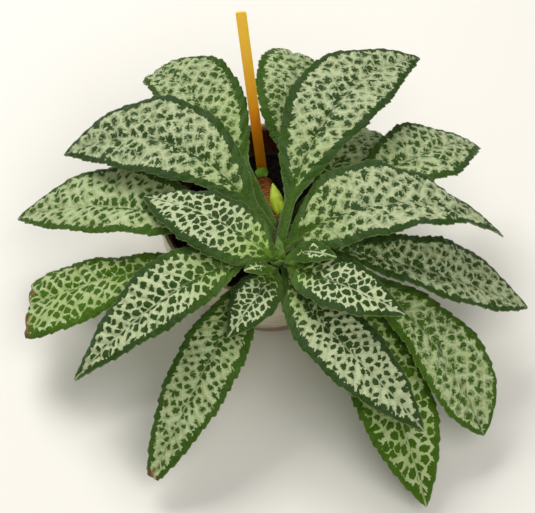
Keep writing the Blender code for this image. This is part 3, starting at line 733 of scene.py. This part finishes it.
big_y = y / (pitch * 1.3)
big = flat_cells(big_x, big_y, CELL_DISORDER, "DISTANCE_TO_EDGE")["Distance"]
cell = flat_cells(big_x, big_y, CELL_DISORDER, "F1")
luck = cell["Color"].parts()[0]
dot_pitch = pitch * DOT_SHARE
dots = flat_cells(x / dot_pitch + shift, y / dot_pitch, 1.0, "F1")["Distance"]
near_rib = across.fade(2.0, 7.5, 1.0, 0.0) * along.fade(0.45, 0.85, 1.0, 0.0) * luck.fade(0.1, 0.5)
rags = spot_place.cloud(1.5, 3, (1, 0.5, 1)) - 0.5
rays = spot_place.cloud(1.5, 2, (1, 0.25, 1)) - 0.5
margin = given["Margin"] * along.fade(0.1, 0.9, 1.35, 0.7)
inner = (rays * 6.0 + edge).fade(margin - 1.1, margin + 1.1) * along.fade(start, start + 0.08)
outer = 1.0 - inner
patches = spot_place.cloud(9.0) - 0.5
limit = age * 0.14 + 0.045 + patches * 0.28 + (luck - 0.5) * 0.06 - near_rib * 0.14 - outer * 0.65
net = big * 0.62 + rags * 0.36 + (0.45 - cell["Distance"]) * 0.36 - dots * 0.12 - limit
lobes = (dots - 0.35) * (age * 0.62)
spot = cell["Distance"] + rags * 0.5 + lobes + (luck - 0.5) * 0.28 - near_rib * 0.24 - outer * 1.6
left_green = net + (0.285 - spot - net) * age.fade(0.35, 0.75)
rib = across.fade(0.25, 0.75, 0.9, 0.0) * along.fade(0.3, 0.7)
leaving = mottling.nodes.new("NodeGroupOutput").inputs
feed(left_green.fade(-0.045, 0.045, 1.0, 0.0).reckon("MAXIMUM", rib), leaving["Pale"])
feed(spot.fade(0.28, 0.72, 1.0, 0.0), leaving["Halo"])
feed((rags * 0.2 + big).fade(0.02, 0.17, 1.0, 0.0), leaving["Line"])
feed(spot_place.cloud(0.8, 3) * 0.5 + dots.fade(0.6, 0.1, 0.0, 0.3) + big.fade(0.0, 0.3, 0.0, 0.45),
     leaving["Relief"])
feed(spot_place.cloud(11.0, 3), leaving["Tone"])


def shade_between(first, second, share):
    return tuple(a + (b - a) * share for a, b in zip(first, second))


def upper_face(leaf, number):
    """The mottled upper face of one leaf."""
    material, shader, place = new_finish(leaf.name + " green", "veins")
    edge, along = stored(place, "edge"), stored(place, "along")
    grown = leaf.width > 20
    pattern = place.node("ShaderNodeGroup")
    pattern.node_tree = mottling
    for name, value in (("Place", place), ("Edge", edge), ("Along", along), ("Age", leaf.age),
                        ("Margin", 1.1 + 2.6 * min(1.0, leaf.width / 50) if grown else 3.0),
                        ("Pitch", max(3.4, 1.8 + leaf.width * 0.068)), ("Start", leaf.stalk * 0.9),
                        ("Seed", number)):
        feed(value, pattern.inputs[name])
    mottle = outputs_of(pattern)
    tone = mottle["Tone"]
    dapple = tone.fade(0.35, 0.65)
    tender = along.fade(leaf.stalk + 0.05, leaf.stalk + 0.42, 1.0 - 0.9 * leaf.age if grown else 0.4, 0.0)
    # The dark green is dappled at random, and its bluish patches are a painted sheen: the reflection of pale
    # light on the hairy blades.
    green = dapple.between(LEAF_DARK, LEAF_BLUE_SHEEN)
    # Painted light: by the leaf's sun, the green is painted yellower and, below, the pale a deeper lime,
    # standing in for light shining through the blade from behind.
    green = tone.fade(0.2, 0.8, leaf.sun * 0.7, leaf.sun).between(green, LEAF_SUNNY)
    green = (tender * 0.35).between(green, LEAF_STALK)
    old = shade_between(LEAF_CREAM, LEAF_SAGE, min(1.0, 0.15 + leaf.age))
    old = shade_between(old, LEAF_LIME, 0.8 * leaf.sun)
    cream = dapple.between(shade_between(old, LEAF_CREAM, 0.4), old)
    cream = (mottle["Halo"] * min(1.0, max(0.0, (leaf.age - 0.4) / 0.5))).between(cream, LEAF_HALO)
    cream = (mottle["Line"] * (0.75 * leaf.age)).between(cream, shade_between(old, LEAF_CREAM, 0.6))
    cream = tender.between(cream, LEAF_TENDER)
    colour = mottle["Pale"].between(green, cream)
    stalk = along.fade(leaf.stalk * 0.9, leaf.stalk + 0.22,
                       0.9 - 0.5 * leaf.age * (1 - leaf.sun) if grown else 0.35, 0.0)
    stalk *= abs(place.parts()[1]).fade(0.5, 2.6, 1.0, 0.1)
    # Painted shade: the stalks are painted darker the further down the stem the leaf sits, where the leaves
    # above shade them.
    colour = stalk.between(colour, shade_between(LEAF_STALK, LEAF_DARK, min(0.75, leaf.back / 50)))
    colour = edge.fade(0.15, 0.45, 0.7, 0.0).between(colour, LEAF_EDGE)
    if leaf.brown:
        end = 1 - leaf.cut
        dry = (along + (tone - 0.5) * 0.08).fade(end - 0.018 * leaf.brown, end - 0.004, 0.0, 0.9)
        colour = dry.between(colour, LEAF_BROWN)
    coat(shader, colour, tone.fade(0.3, 0.7, 0.42, 0.54),
         [("Specular IOR Level", 0.12), ("Sheen Weight", 0.03), ("Sheen Roughness", 0.4)])
    emboss(shader, mottle["Relief"], 0.55 * mm)
    return material


under_face, shader, place = new_finish("leaf underside")
nets = place.cells(2.2 * mm)
green = place.cloud(7 * mm).fade(0.35, 0.65)
green = green.between(UNDER_GREEN, shade_between(UNDER_GREEN, UNDER_VEIN, 0.35))
veined = stored(place, "vein").fade(0.3, 0.8, 0.8, 0.0).reckon("MAXIMUM", nets.fade(0.02, 0.1, 0.4, 0.0))
coat(shader, veined.between(green, UNDER_VEIN), nets.fade(0.0, 0.3, 0.55, 0.7),
     [("Sheen Weight", 0.2), ("Sheen Roughness", 0.4)])
emboss(shader, veined, 0.2 * mm)

leaf_rim, shader, place = new_finish("leaf edge")
coat(shader, place.cloud(2 * mm).between(LEAF_EDGE, UNDER_GREEN),
     place.cloud(0.8 * mm).fade(0.3, 0.7, 0.5, 0.7))


def direction(heading, slope):
    h, p = math.radians(heading), math.radians(slope)
    return Vector((math.cos(h) * math.cos(p), math.sin(h) * math.cos(p), math.sin(p)))


class Midrib:
    """Cubic curve from the stem to the leaf's tip. It starts at the distance seat from the centre line."""

    def __init__(self, leaf, seat):
        centre = stem_line.at(leaf.back * mm)
        axis = stem_line.along(leaf.back * mm)
        leaving = direction(leaf.heading + leaf.veer, leaf.rise)
        out = (leaving - axis * leaving.dot(axis)).normalized()
        root = centre + out * seat
        tip = centre + direction(leaf.heading, 0) * leaf.reach * mm + Vector((0, 0, leaf.drop * mm))
        chord = (tip - root).length
        first = root + leaving * chord * leaf.start
        second = tip - direction(leaf.heading + leaf.hook, leaf.fall) * chord * leaf.end
        self.length = 0.5 * (chord + (first - root).length + (second - first).length + (tip - second).length)
        self.knots = np.array([root, first, second, tip])

    def at(self, s):
        r = 1 - s
        shares = np.stack([r ** 3, 3 * s * r * r, 3 * s * s * r, s ** 3], axis=-1)
        return shares @ self.knots

    def forward(self, s):
        r = 1 - s
        shares = np.stack([r * r, 2 * s * r, s * s], axis=-1)
        slope = shares @ np.diff(self.knots, axis=0)
        return slope / np.linalg.norm(slope, axis=-1, keepdims=True)


def half_width(leaf, s):
    """Half the blade's breadth at the fraction s of the leaf, with the stalk running into it."""
    u = np.clip((s - leaf.stalk) / (1 - leaf.stalk), 0, 1)
    rising = 1 - np.clip(1 - u / leaf.widest, 0, 1) ** leaf.base
    falling = 1 - np.clip((u - leaf.widest) / (1 - leaf.widest), 0, 1) ** leaf.point
    shape = np.where(u < leaf.widest, rising, falling)
    stalk = STALK_HALF_WIDTH * min(1.0, leaf.width / 30) * np.clip(1 - 1.2 * u, 0, 1)
    return np.hypot(leaf.width * mm / 2 * shape, stalk) + TIP_HALF_WIDTH


def toothed(leaf, length, s, rng):
    """How far the teeth stand out at each s, on the right and on the left edge."""
    blade_start = leaf.stalk * 0.9 + 0.01
    end = 1 - leaf.cut
    count = max(4, round(length * (end - blade_start) / TOOTH_SPACING))
    scale = TOOTH_DEPTH * min(1.0, leaf.width / 36)
    sizes = []
    for i in range(count):
        size = scale * math.sin(math.pi * min(0.9, 0.12 + 0.8 * i / count)) ** 0.5
        sizes.append((size * rng.uniform(0.6, 1.4), size * rng.uniform(0.6, 1.4)))
    sizes = np.array(sizes + [(0.0, 0.0)])
    place = np.clip((s - blade_start) / (end - blade_start), 0, 0.99999) * count
    tooth = place.astype(int)
    x = place - tooth
    rising = 1 - (1 - np.clip(x / TOOTH_PEAK, 0, 1)) ** 1.25
    shape = np.where(x < TOOTH_PEAK, rising, np.clip(1 - (x - TOOTH_PEAK) / (1 - TOOTH_PEAK), 0, 1))
    minor = (x * 2) % 1
    shape = 0.66 * shape + 0.40 * minor * (1 - minor ** 7)
    shape = np.where((s < blade_start) | (s > end - 0.012), 0, shape)
    return sizes[tooth, 0] * shape, sizes[tooth, 1] * shape


def flesh(leaf, s, t):
    """Thickness of the leaf as a share of the stalk's."""
    thin = BLADE_THICKNESS / STALK_THICKNESS
    blade = np.clip((s - leaf.stalk * 0.6) / 0.12, 0, 1)
    round_stalk = 0.2 + 0.8 * np.sqrt(np.clip(1 - t * t, 0, 1))
    ribbed = thin + np.clip(1 - s, 0, 1) * 0.5 * (1 - thin) * np.clip(1 - 3.2 * abs(t), 0, 1) ** 1.3
    edge = 1 - 0.45 * np.clip((abs(t) - 0.85) / 0.15, 0, 1)
    return (round_stalk * (1 - blade) + ribbed * blade) * edge


def leaf_blade(leaf, number, rng):
    """The finished leaf: a fine waved sheet with sunken veins, given its flesh below the upper face."""
    phase = rng.uniform(0, math.tau)
    tooth_length = Midrib(leaf, STEM_RADIUS + STALK_THICKNESS + STALK_HALF_WIDTH).length
    seat = YOUNG_SEAT if leaf.back < 12 else SEAT
    midrib = Midrib(leaf, seat)
    sunk = seat - 0.65 * STEM_RADIUS * min(1.0, stem_taper(leaf.back * mm, stem_line.length))
    rows = max(50, round(midrib.length / ROW_SPACING))
    columns = 2 * max(10, round(leaf.width * mm / 2 / COLUMN_SPACING))
    bm = bmesh.new()
    bmesh.ops.create_grid(bm, x_segments=columns, y_segments=rows, size=0.5)
    mesh = as_mesh(leaf.name, bm)
    flat = np.empty(len(mesh.vertices) * 3)
    mesh.vertices.foreach_get("co", flat)
    flat = flat.reshape(-1, 3)
    t = np.round(-2 * flat[:, 0], 6)
    row_share = flat[:, 1] + 0.5
    first = -sunk / midrib.length
    s = first + (1 - leaf.cut - first) * row_share
    forward = midrib.forward(s)
    left = np.cross([0, 0, 1], forward)
    left /= np.linalg.norm(left, axis=1, keepdims=True)
    up = np.cross(forward, left)
    tilt = np.radians(leaf.roll + leaf.twist * s)[:, None]
    left, up = left * np.cos(tilt) + up * np.sin(tilt), up * np.cos(tilt) - left * np.sin(tilt)
    right_tooth, left_tooth = toothed(leaf, tooth_length, s, rng)
    tooth = np.where(t > 0, left_tooth, right_tooth) * np.clip((abs(t) - 0.8) / 0.2, 0, 1) ** 1.5
    breadth = half_width(leaf, s) * (1 + leaf.skew * t) + tooth
    fold = math.radians(leaf.fold)
    sideways = breadth * t * math.cos(fold)
    lift = breadth * (abs(t) * math.sin(fold) - HALF_CROWN * t * t)
    wave = WAVE_HEIGHT * leaf.width / 50 * np.sin(9 * s * math.pi + phase + 1.5 * t)
    wave *= t * t * np.sin(math.pi * s)

    run = s * midrib.length / mm
    across = abs(t) * breadth / mm
    edge = (1 - abs(t)) * breadth / mm
    spacing = leaf.width * VEIN_SPACING
    slant = run - VEIN_LEAN * across + 0.010 * across ** 2 + np.where(t > 0, 0.35, 0.0) * spacing
    between = slant / spacing - np.floor(slant / spacing)
    vein = np.minimum(between, 1 - between) * spacing * 0.76
    on_blade = np.clip((s - leaf.stalk) / 0.1, 0, 1) * np.clip(edge / 2.5, 0, 1)
    size = min(1.0, leaf.width / 45)
    quilt = QUILT_MM * size * np.sin(math.pi * between) ** 1.2 * np.clip(across / 3, 0, 1) * on_blade
    furrow = -FURROW_MM * size * np.exp(-(vein / 0.6) ** 2) * on_blade
    channel = -CHANNEL_MM * size * np.exp(-(across / 1.3) ** 2) * (1 - 0.6 * s)
    crinkle = np.array([noise.noise(Vector((a / 4.5, b / 4.5, number))) * 0.45
                        + noise.noise(Vector((a / 1.9, b / 1.9, number + 40))) * 0.14
                        for a, b in zip(run, across * np.sign(t))])
    detail = (quilt + furrow + channel + crinkle * size * np.clip(s * 8, 0, 1)) * mm
    places = midrib.at(s) + left * sideways[:, None] + up * (lift + wave + detail)[:, None]
    mesh.vertices.foreach_set("co", places.ravel())
    for name, values in (("edge", edge), ("along", s), ("vein", vein)):
        mesh.attributes.new(name, "FLOAT", "POINT").data.foreach_set("value", values.astype(np.float32))
    corners = np.empty(len(mesh.loops), dtype=np.int32)
    mesh.loops.foreach_get("vertex_index", corners)
    veins = np.stack([slant, across * np.sign(t)], axis=1)[corners]
    mesh.uv_layers.new(name="veins").data.foreach_set("uv", veins.ravel().astype(np.float32))
    piece = put("blade_" + leaf.name[-1], mesh)
    group = piece.vertex_groups.new(name="flesh")
    for i, share in enumerate(np.clip(flesh(leaf, s, t), 0, 1)):
        group.add([i], share, "REPLACE")
    solid = piece.modifiers.new("flesh", "SOLIDIFY")
    solid.thickness = STALK_THICKNESS * min(1.0, leaf.width / 22)
    solid.offset = -1
    solid.vertex_group = "flesh"
    solid.material_offset = 1
    solid.material_offset_rim = 2
    for material in (upper_face(leaf, number), under_face, leaf_rim):
        mesh.materials.append(material)
    mesh.shade_smooth()
    mesh.update()
    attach(piece, "root")
    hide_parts(leaf.name)
    return places.reshape(-1, 3), t, s, up, left


leaf_rng = random.Random(11)
edge_points = []
for number, leaf in enumerate(LEAVES):
    places, t, s, up, left = leaf_blade(leaf, number, leaf_rng)
    at_edge = abs(t) > 0.999
    edge_points.append((leaf, places[at_edge], t[at_edge], s[at_edge], up[at_edge], left[at_edge]))

# Hairs: the short soft hairs that fringe every blade and stalk, clear and pale.
# Each is one tapered cone rooted in the edge of a leaf.
HAIR_LENGTH = 0.9 * mm
HAIR_RADIUS = 0.04 * mm
HAIR_PALE = (0.40, 0.46, 0.26, 1)
HAIR_GREEN = (0.20, 0.28, 0.09, 1)

soft_hair, shader, place = new_finish("soft hair")
coat(shader, place.cloud(3 * mm).between(HAIR_PALE, HAIR_GREEN), place.cloud(1 * mm).fade(0.3, 0.7, 0.4, 0.6))


def upright_to(axis):
    """The turn that lays an upright piece along the axis."""
    return Vector((0, 0, 1)).rotation_difference(axis).to_matrix().to_4x4()


rng = random.Random(23)
bm = bmesh.new()
for leaf, places, t, s, up, left in edge_points:
    tuft = bmesh.new()
    for i in range(len(places)):
        if s[i] < 0.03:
            continue
        outward = Vector(left[i]) * (1 if t[i] > 0 else -1) + Vector(up[i]) * rng.uniform(-0.5, 0.7)
        outward += jolt(rng, 0.4)
        length = HAIR_LENGTH * rng.uniform(0.5, 1.2) * min(1.0, leaf.width / 30)
        spot = Matrix.Translation(Vector(places[i]) + outward.normalized() * (length / 2 - 0.15 * mm))
        bmesh.ops.create_cone(tuft, cap_ends=True, segments=3, radius1=HAIR_RADIUS, radius2=HAIR_RADIUS * 0.3,
                              depth=length, matrix=spot @ upright_to(outward))
    pour(bm, tuft)
hairs = set_down("edge_hairs", bm, soft_hair, crease=180)

# Side shoot: a plump young offset pushing out of the bark below the crown, its leaves still in a bud.
# Pale yellow-green and softly hairy.
SHOOT_BASE = Vector((5.6, -14, 82)) * mm
SHOOT_TIP = Vector((1.6, 5.5, 88)) * mm
SHOOT_BREADTH = 8.0 * mm
SHOOT_YELLOW = (0.46, 0.57, 0.03, 1)
SHOOT_GREEN = (0.33, 0.48, 0.02, 1)


def bud_body(bm, centre, axis, length, breadth, thickness, sharpness, sides, rings, fold=0.0, seed=0):
    """A rounded body along an axis, pointed at its far end, with a crease down its front."""
    made = bmesh.ops.create_uvsphere(bm, u_segments=sides, v_segments=rings, radius=0.5)["verts"]
    for vert in made:
        rise = vert.co.z * 2
        taper = 1 - sharpness * max(0.0, rise)
        front = 1 if vert.co.y < 0 else 0
        crease = 1 - fold * math.exp(-(vert.co.x / 0.12) ** 2) * front * (1 - rise * rise)
        lump = 1 + 0.05 * noise.noise(vert.co * 5 + Vector((seed, 0, 0)))
        x, y, z = vert.co
        vert.co = Vector((x * breadth * taper, y * thickness * taper * crease, z * length)) * lump
    bmesh.ops.rotate(bm, verts=made, matrix=upright_to(axis))
    bmesh.ops.translate(bm, verts=made, vec=centre)


def bud_green(name, first, second, grain, depth):
    """Tender green tissue, in soft patches of the two colours, with a fine hairy grain."""
    material, shader, place = new_finish(name)
    down = place.cloud(grain, 4)
    coat(shader, place.cloud(4 * mm).fade(0.35, 0.65).between(first, second), down.fade(0.3, 0.7, 0.38, 0.6),
         [("Specular IOR Level", 0.3), ("Sheen Weight", 0.06), ("Subsurface Weight", 0.15),
          ("Subsurface Radius", (0.6, 1.0, 0.2)), ("Subsurface Scale", 1.5 * mm)])
    emboss(shader, down, depth)
    return material


shoot_green = bud_green("shoot green", SHOOT_YELLOW, SHOOT_GREEN, 0.6 * mm, 0.15 * mm)
bm = bmesh.new()
axis = SHOOT_TIP - SHOOT_BASE
bud_body(bm, (SHOOT_BASE + SHOOT_TIP) / 2, axis, axis.length, SHOOT_BREADTH, SHOOT_BREADTH * 0.9, 0.5, 48, 40,
         fold=0.12, seed=3)
bud_body(bm, SHOOT_BASE + axis * 0.34 + Vector((1.9, -0.8, 0.6)) * mm, axis, axis.length * 0.66,
         SHOOT_BREADTH * 0.62, SHOOT_BREADTH * 0.7, 0.6, 40, 32, seed=4)
side_shoot = set_down("offset_bud", bm, shoot_green, crease=80)
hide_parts("side_shoot")

# Crown bud: the youngest leaflets, still folded together on the stem's end.
# Olive green with a fine hairy grain; its reddish down is not drawn.
BUD_OLIVE = (0.11, 0.20, 0.018, 1)
BUD_GREEN = (0.05, 0.12, 0.015, 1)

bud_olive = bud_green("bud green", BUD_OLIVE, BUD_GREEN, 0.5 * mm, 0.15 * mm)
bm = bmesh.new()
crown_up = (stem_line.at(0) - stem_line.at(4 * mm)).normalized()
bud_seat = stem_line.at(0) + crown_up * (GAP + 2.2 * mm)
bud_body(bm, bud_seat + crown_up * 0.3 * mm, crown_up, 5 * mm, 5 * mm, 5 * mm, 0, 24, 16, seed=5)
for i, heading in enumerate((-110, -35, 40, 100, 175)):
    lean = (direction(heading, 0) * 0.95 + crown_up * 0.9 + Vector((0, 0, 0.5))).normalized()
    bud_body(bm, bud_seat + lean * 3.9 * mm, lean, (9.6 - 0.7 * i) * mm, 4.6 * mm, 1.7 * mm, 0.6, 24, 24,
             fold=0.4, seed=i)
for distance, heading, size in ((6, 70, 10), (11, 128, 11), (17, 96, 12)):
    lean = direction(heading, 18)
    middle = stem_line.at(distance * mm) + Vector((0, 0, 3.2 + 0.03 * distance)) * mm + lean * 2 * mm
    bud_body(bm, middle, lean, size * mm, 5.6 * mm, 2.2 * mm, 0.6, 28, 24, fold=0.4, seed=distance)
crown_bud = set_down("folded_leaflets", bm, bud_olive, crease=80)
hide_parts("crown_bud")

# Sprout: a seedling's single round leaf on a thread of a stalk, standing in the soil beside the stem.
# Tender green, thin and nearly flat, its green painted brighter than its own as painted light, against the
# shade of the leaves over it.
SPROUT_STALK_RADIUS = 0.8 * mm
SPROUT_BLADE = Vector((-5.0, 38.5, 58.5)) * mm
SPROUT_FOOT = Vector((-14.5, 41, 44)) * mm
SPROUT_LIT_GREEN = (0.32, 0.66, 0.07, 1)
SPROUT_DEEP = (0.18, 0.46, 0.04, 1)

sprout_green = bud_green("sprout green", SPROUT_LIT_GREEN, SPROUT_DEEP, 0.7 * mm, 0.1 * mm)
bm = bmesh.new()
bud_body(bm, SPROUT_BLADE, Vector((0, -0.35, 1)), 1.6 * mm, 8 * mm, 7 * mm, 0, 40, 20, seed=9)
run = SPROUT_BLADE - SPROUT_FOOT
bmesh.ops.create_cone(bm, cap_ends=True, segments=20, radius1=SPROUT_STALK_RADIUS,
                      radius2=SPROUT_STALK_RADIUS * 0.8, depth=run.length,
                      matrix=Matrix.Translation((SPROUT_BLADE + SPROUT_FOOT) / 2) @ upright_to(run))
sprout = set_down("seedling", bm, sprout_green, crease=60)
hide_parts("sprout")

# Studio: a plain pale floor, one broad soft light behind the plant, a fill over the camera, and pale air.
# The camera looks down on the plant from the front.
FLOOR_PALE = (0.84, 0.82, 0.78, 1)
AIR_PALE = (0.92, 0.92, 0.90, 1)
AIR_STRENGTH = 0.30
FLOOR_REACH = 4
PLANT_MIDDLE = Vector((0, -20, 60)) * mm
CAMERA_PLACE = Vector((-1.475, -692.34, 927.27)) * mm
CAMERA_AIM = Vector((-1.475, -22.71, 54.58)) * mm
CAMERA_SENSOR = 36
CAMERA_LENS = 125.43

pale_floor, shader, place = new_finish("pale floor")
coat(shader, place.cloud(0.4).between(FLOOR_PALE, shade_between(FLOOR_PALE, AIR_PALE, 0.3)), 0.8)
bm = bmesh.new()
bmesh.ops.create_grid(bm, x_segments=1, y_segments=1, size=FLOOR_REACH)
studio_floor = put("floor", as_mesh("floor", bm))
studio_floor.data.materials.append(pale_floor)


def aim(name, data, place, target):
    """A light or the camera, set in its place and turned to its target."""
    thing = put(name, data)
    thing.location = place
    thing.rotation_euler = (target - Vector(place)).to_track_quat("-Z", "Y").to_euler()
    return thing


for name, place, width, power, colour in (
        ("window", (-0.45, 0.75, 1.35), 0.9, 19, (1.0, 0.985, 0.94)),
        ("fill", (0.45, -0.95, 1.35), 1.2, 14, (1.0, 0.97, 0.92))):
    soft_box = bpy.data.lights.new(name, "AREA")
    soft_box.size = width
    soft_box.energy = power
    soft_box.color = colour
    aim(name, soft_box, place, PLANT_MIDDLE)
world = bpy.data.worlds.new("studio air")
world.use_nodes = True
background = world.node_tree.nodes["Background"]
background.inputs["Color"].default_value = AIR_PALE
background.inputs["Strength"].default_value = AIR_STRENGTH
bpy.context.scene.world = world
bpy.context.scene.view_settings.view_transform = "Standard"

camera_data = bpy.data.cameras.new("camera")
camera_data.sensor_width = CAMERA_SENSOR
camera_data.lens = CAMERA_LENS
camera_data.clip_start = 0.01
bpy.context.scene.camera = aim("camera", camera_data, CAMERA_PLACE, CAMERA_AIM)
